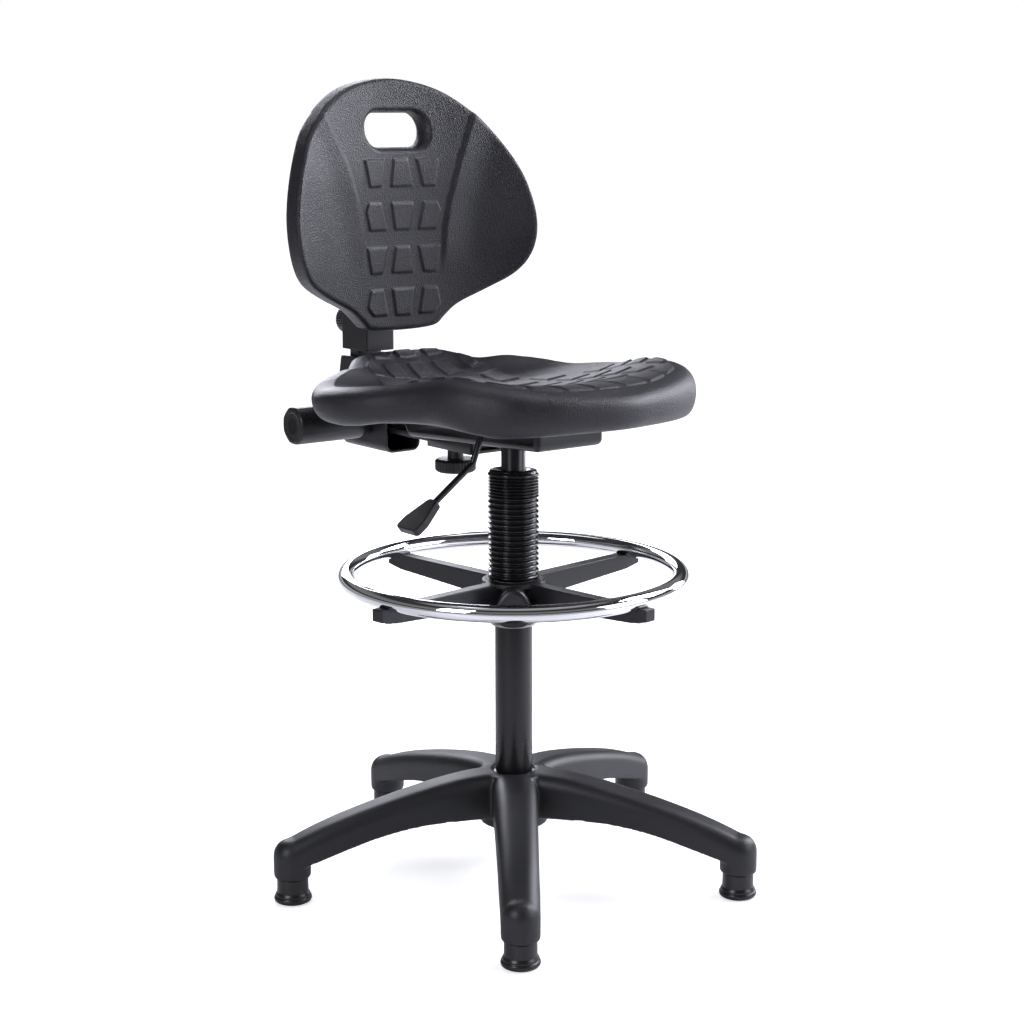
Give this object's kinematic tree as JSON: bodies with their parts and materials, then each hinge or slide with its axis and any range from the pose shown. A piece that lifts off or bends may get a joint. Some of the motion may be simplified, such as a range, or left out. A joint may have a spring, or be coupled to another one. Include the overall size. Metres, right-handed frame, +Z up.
{
  "type": "drafting chair",
  "caption": "Tall drafting chair: moulded seat and back, gas column in bellows, chrome foot ring, five-leg base on fixed glides.",
  "frame": {"origin": "on the floor under the middle of the chair's box; the column stands 61.5 mm in front of it", "axes": "+Z up, the chair faces -Y, its left side is -X"},
  "size_m": [0.6378, 0.673, 1.0621],
  "materials": {
    "moulded_pu": "self-skinned polyurethane foam, fine leather grain, low sheen",
    "base_nylon": "glass-filled nylon, fine spark texture",
    "glide_nylon": "smooth nylon, satin",
    "hub_nylon": "moulded nylon, satin",
    "cover_plastic": "moulded polypropylene, fine texture",
    "grip_plastic": "moulded nylon, satin",
    "handle_plastic": "moulded nylon, satin, faceted end",
    "guide_plastic": "natural acetal, smooth",
    "bellows_plastic": "flexible moulded plastic, glossy",
    "black_paint": "black powder coat, satin",
    "pressed_black": "black powder coat on pressed steel",
    "bare_steel": "zinc-plated steel",
    "polished_rod": "hard-chromed and ground",
    "ring_chrome": "bright chrome plate",
    "plywood": "birch plywood, stained black",
    "brass_insert": "turned brass"
  },
  "bodies": {
    "base": {"base_star": "base_nylon", "base_insert_ring": "bare_steel", "glide_1": "glide_nylon", "glide_2": "glide_nylon", "glide_3": "glide_nylon", "glide_4": "glide_nylon", "glide_5": "glide_nylon", "glide_stems": "bare_steel", "column_tube": "black_paint", "column_bush": "guide_plastic", "bearing_lower_race": "bare_steel", "bearing_balls": "bare_steel"},
    "column_rod": {"bearing_upper_race": "bare_steel", "piston_rod": "polished_rod", "rod_clip": "bare_steel", "piston": "guide_plastic", "bellows": "bellows_plastic"},
    "seat_frame": {"gas_cylinder": "black_paint", "rod_guide": "guide_plastic", "seat_pad": "moulded_pu", "seat_board": "plywood", "tee_nuts": "bare_steel", "seat_bolts": "bare_steel", "mechanism_housing": "pressed_black", "column_socket": "pressed_black", "arm_channel": "pressed_black", "lever_bracket": "pressed_black", "lever_pin": "bare_steel"},
    "valve": {"valve_pin": "polished_rod"},
    "lever": {"lever_rod": "black_paint", "lever_paddle": "grip_plastic"},
    "depth_knob": {"depth_knob": "grip_plastic", "depth_screw": "bare_steel"},
    "arm": {"back_arm": "pressed_black"},
    "post": {"back_post": "pressed_black", "post_cap": "grip_plastic", "hinge_bolt": "bare_steel", "hinge_cover": "cover_plastic"},
    "tilt_handle": {"tilt_handle": "handle_plastic", "handle_nut": "brass_insert"},
    "carriage": {"back_block": "cover_plastic", "back_plate": "pressed_black", "back_screws": "bare_steel", "back_core": "plywood", "back_pad": "moulded_pu"},
    "height_knob": {"height_knob": "grip_plastic", "height_screw": "bare_steel"},
    "ring_slider": {"ring_sleeve": "guide_plastic"},
    "ring_frame": {"ring_hub": "hub_nylon", "foot_ring": "ring_chrome", "ring_screws": "bare_steel"},
    "ring_knob": {"ring_knob": "grip_plastic", "ring_knob_stud": "bare_steel"}
  },
  "joints": [
    {"name": "seat_swivel", "type": "hinge", "parent": "base", "child": "column_rod", "pos_m": [0, -0.06151, 0.072], "axis": [0, 0, 1], "continuous": true},
    {"name": "seat_height", "type": "slide", "parent": "column_rod", "child": "seat_frame", "axis": [0, 0, 1], "range_m": [-0.065, 0.185], "deforming": ["bellows"]},
    {"name": "lever_lift", "type": "hinge", "parent": "seat_frame", "child": "lever", "pos_m": [-0.04, -0.08251, 0.6266], "axis": [0, 1, 0], "range_deg": [0, 5], "stiffness_Nm_per_rad": 8, "springref_deg": -11.46},
    {"name": "valve_press", "type": "slide", "parent": "seat_frame", "child": "valve", "axis": [0, 0, -1], "range_m": [0, 0.0036]},
    {"name": "depth_knob_turn", "type": "hinge", "parent": "seat_frame", "child": "depth_knob", "pos_m": [0, 0.06849, 0.545], "axis": [0, 0, 1], "range_deg": [0, 540]},
    {"name": "back_depth", "type": "slide", "parent": "seat_frame", "child": "arm", "axis": [0, 1, 0], "range_m": [-0.012, 0.05]},
    {"name": "back_tilt", "type": "hinge", "parent": "arm", "child": "post", "pos_m": [0, 0.24749, 0.592], "axis": [-1, 0, 0], "range_deg": [-3, 15]},
    {"name": "tilt_handle_turn", "type": "hinge", "parent": "post", "child": "tilt_handle", "pos_m": [-0.088, 0.24749, 0.592], "axis": [-1, 0, 0], "range_deg": [0, 540]},
    {"name": "back_height", "type": "slide", "parent": "post", "child": "carriage", "axis": [0, 0, 1], "range_m": [-0.008, 0.055]},
    {"name": "height_knob_turn", "type": "hinge", "parent": "carriage", "child": "height_knob", "pos_m": [0, 0.32549, 0.725], "axis": [0, 1, 0], "range_deg": [0, 540]},
    {"name": "ring_height", "type": "slide", "parent": "base", "child": "ring_slider", "axis": [0, 0, 1], "range_m": [-0.17, 0]},
    {"name": "ring_turn", "type": "hinge", "parent": "ring_slider", "child": "ring_frame", "pos_m": [0, -0.06151, 0.4], "axis": [0, 0, 1], "continuous": true},
    {"name": "ring_knob_turn", "type": "hinge", "parent": "ring_frame", "child": "ring_knob", "pos_m": [-0.03462, -0.10679, 0.381], "axis": [-0.6074, -0.7944, 0], "range_deg": [0, 540]}
  ],
  "couplings": [
    {"joint": "valve_press", "follows": "lever_lift", "m_per_rad": 0.04}
  ]
}
